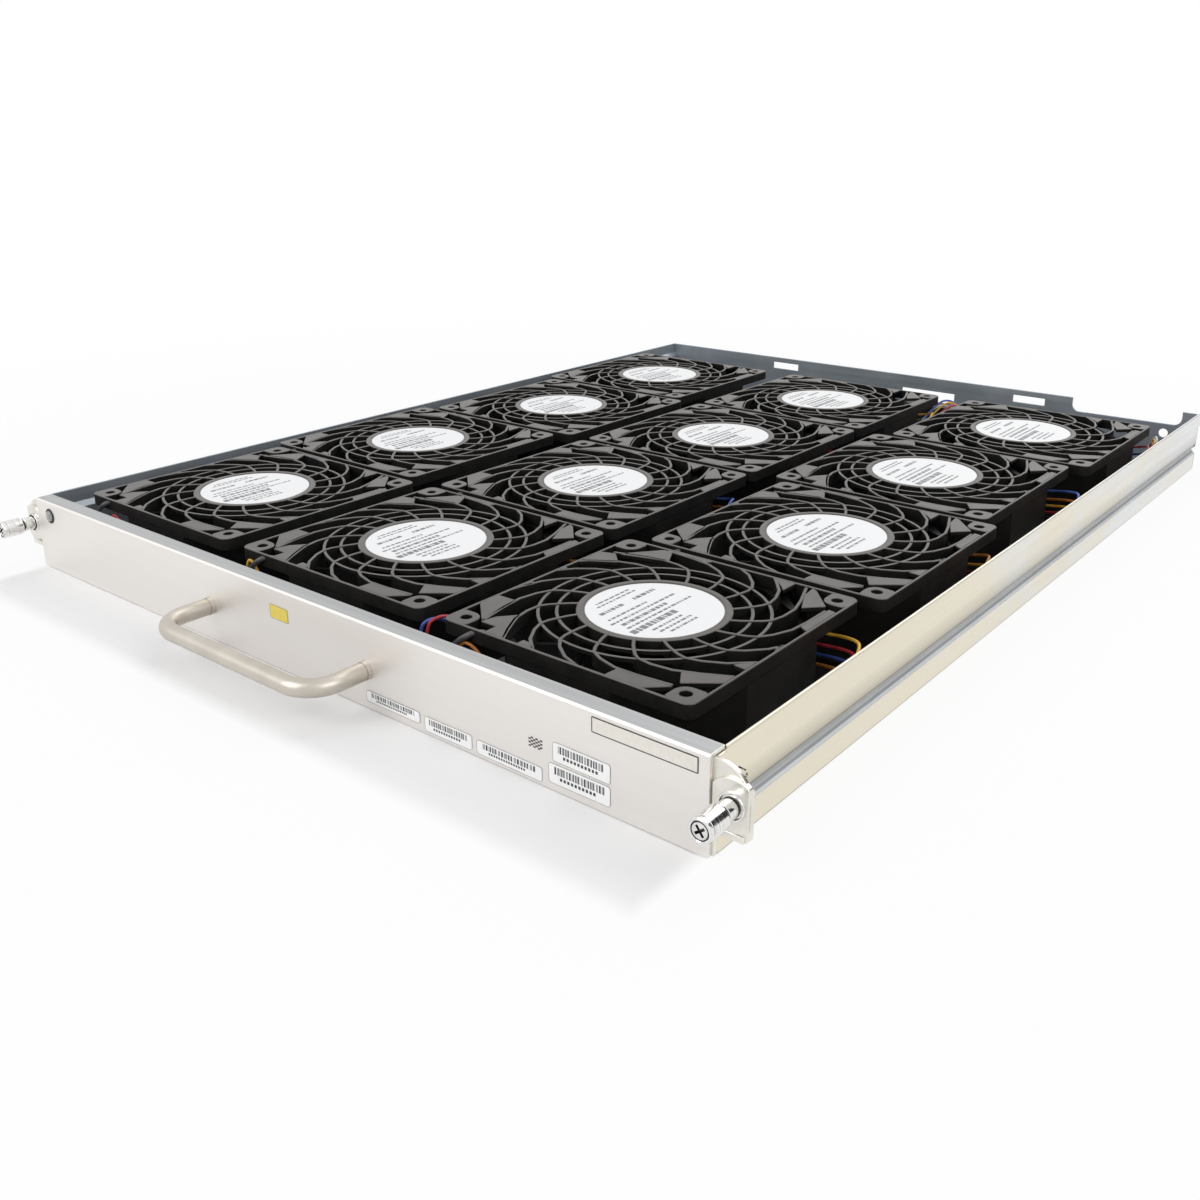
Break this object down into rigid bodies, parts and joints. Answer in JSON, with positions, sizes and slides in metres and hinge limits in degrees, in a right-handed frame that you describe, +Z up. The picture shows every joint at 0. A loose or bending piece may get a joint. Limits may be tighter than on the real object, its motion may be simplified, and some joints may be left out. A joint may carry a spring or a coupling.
{
  "type": "switch fan tray",
  "caption": "Shallow sheet-metal drawer with a staggered grid of axial fans, a bar pull handle and sprung captive screws, for cooling a network switch chassis.",
  "frame": {"origin": "underside of the tray floor, at the centre of the fan grid", "axes": "+X to the right along the front panel, +Y to the rear, +Z up"},
  "size_m": [0.457, 0.6135, 0.0395],
  "materials": {
    "tray_sheet": "galvanised",
    "panel": "fine brushed",
    "ear": "zinc plated",
    "handle": "satin nickel",
    "steel_screw": "plain",
    "bright_screw": "bright nickel",
    "spring": "drawn wire",
    "lamp": "clear smoked lens",
    "fan_guard": "moulded",
    "fan_body": "moulded",
    "impeller": "moulded",
    "board": "solder mask",
    "connector": "moulded",
    "loom": "sleeved wires",
    "plug": "moulded"
  },
  "bodies": {
    "chassis": {"tray_floor": "tray_sheet", "left_side_wall": "tray_sheet", "right_side_wall": "tray_sheet", "rear_wall": "tray_sheet", "front_panel": "panel", "left_ear": "ear", "right_ear": "ear", "pull_handle": "handle", "handle_screws": "steel_screw", "status_lamp": "lamp", "screw_ferrules": "bright_screw", "left_captive_spring": "spring", "right_captive_spring": "spring", "guard_rings": "fan_body", "controller_board": "board", "board_standoffs": "steel_screw", "rear_connector": "connector", "wiring_looms": "loom", "loom_plugs": "plug", "fan_guard_row1_left": "fan_guard", "fan_housing_row1_left": "fan_body", "fan_guard_row1_middle": "fan_guard", "fan_housing_row1_middle": "fan_body", "fan_guard_row1_right": "fan_guard", "fan_housing_row1_right": "fan_body", "fan_guard_row2_left": "fan_guard", "fan_housing_row2_left": "fan_body", "fan_guard_row2_middle": "fan_guard", "fan_housing_row2_middle": "fan_body", "fan_guard_row2_right": "fan_guard", "fan_housing_row2_right": "fan_body", "fan_guard_row3_left": "fan_guard", "fan_housing_row3_left": "fan_body", "fan_guard_row3_middle": "fan_guard", "fan_housing_row3_middle": "fan_body", "fan_guard_row3_right": "fan_guard", "fan_housing_row3_right": "fan_body", "fan_guard_row4_left": "fan_guard", "fan_housing_row4_left": "fan_body", "fan_guard_row4_middle": "fan_guard", "fan_housing_row4_middle": "fan_body", "fan_guard_row4_right": "fan_guard", "fan_housing_row4_right": "fan_body"},
    "impeller_row1_left": {"impeller_row1_left": "impeller"},
    "impeller_row1_middle": {"impeller_row1_middle": "impeller"},
    "impeller_row1_right": {"impeller_row1_right": "impeller"},
    "impeller_row2_left": {"impeller_row2_left": "impeller"},
    "impeller_row2_middle": {"impeller_row2_middle": "impeller"},
    "impeller_row2_right": {"impeller_row2_right": "impeller"},
    "impeller_row3_left": {"impeller_row3_left": "impeller"},
    "impeller_row3_middle": {"impeller_row3_middle": "impeller"},
    "impeller_row3_right": {"impeller_row3_right": "impeller"},
    "impeller_row4_left": {"impeller_row4_left": "impeller"},
    "impeller_row4_middle": {"impeller_row4_middle": "impeller"},
    "impeller_row4_right": {"impeller_row4_right": "impeller"},
    "left_washer": {"left_captive_washer": "steel_screw"},
    "left_screw": {"left_captive_screw": "bright_screw"},
    "right_washer": {"right_captive_washer": "steel_screw"},
    "right_screw": {"right_captive_screw": "bright_screw"}
  },
  "joints": [
    {"name": "row1_left_spin", "type": "hinge", "parent": "chassis", "child": "impeller_row1_left", "pos_m": [-0.133, -0.18675, 0.02], "axis": [0, 0, 1], "continuous": true},
    {"name": "row1_middle_spin", "type": "hinge", "parent": "chassis", "child": "impeller_row1_middle", "pos_m": [0, -0.18675, 0.02], "axis": [0, 0, 1], "continuous": true},
    {"name": "row1_right_spin", "type": "hinge", "parent": "chassis", "child": "impeller_row1_right", "pos_m": [0.133, -0.18675, 0.02], "axis": [0, 0, 1], "continuous": true},
    {"name": "row2_left_spin", "type": "hinge", "parent": "chassis", "child": "impeller_row2_left", "pos_m": [-0.1413, -0.06225, 0.02], "axis": [0, 0, 1], "continuous": true},
    {"name": "row2_middle_spin", "type": "hinge", "parent": "chassis", "child": "impeller_row2_middle", "pos_m": [0, -0.06225, 0.02], "axis": [0, 0, 1], "continuous": true},
    {"name": "row2_right_spin", "type": "hinge", "parent": "chassis", "child": "impeller_row2_right", "pos_m": [0.1413, -0.06225, 0.02], "axis": [0, 0, 1], "continuous": true},
    {"name": "row3_left_spin", "type": "hinge", "parent": "chassis", "child": "impeller_row3_left", "pos_m": [-0.133, 0.06225, 0.02], "axis": [0, 0, 1], "continuous": true},
    {"name": "row3_middle_spin", "type": "hinge", "parent": "chassis", "child": "impeller_row3_middle", "pos_m": [0, 0.06225, 0.02], "axis": [0, 0, 1], "continuous": true},
    {"name": "row3_right_spin", "type": "hinge", "parent": "chassis", "child": "impeller_row3_right", "pos_m": [0.133, 0.06225, 0.02], "axis": [0, 0, 1], "continuous": true},
    {"name": "row4_left_spin", "type": "hinge", "parent": "chassis", "child": "impeller_row4_left", "pos_m": [-0.1413, 0.18675, 0.02], "axis": [0, 0, 1], "continuous": true},
    {"name": "row4_middle_spin", "type": "hinge", "parent": "chassis", "child": "impeller_row4_middle", "pos_m": [0, 0.18675, 0.02], "axis": [0, 0, 1], "continuous": true},
    {"name": "row4_right_spin", "type": "hinge", "parent": "chassis", "child": "impeller_row4_right", "pos_m": [0.1413, 0.18675, 0.02], "axis": [0, 0, 1], "continuous": true},
    {"name": "left_screw_press", "type": "slide", "parent": "chassis", "child": "left_washer", "axis": [0, 1, 0], "range_m": [0, 0.006], "stiffness_N_per_m": 300, "springref_m": -0.003, "deforming": ["left_captive_spring"]},
    {"name": "left_screw_turn", "type": "hinge", "parent": "left_washer", "child": "left_screw", "pos_m": [-0.222, -0.26625, 0.022], "axis": [0, 1, 0], "continuous": true},
    {"name": "right_screw_press", "type": "slide", "parent": "chassis", "child": "right_washer", "axis": [0, 1, 0], "range_m": [0, 0.006], "stiffness_N_per_m": 300, "springref_m": -0.003, "deforming": ["right_captive_spring"]},
    {"name": "right_screw_turn", "type": "hinge", "parent": "right_washer", "child": "right_screw", "pos_m": [0.222, -0.26625, 0.022], "axis": [0, 1, 0], "continuous": true}
  ]
}
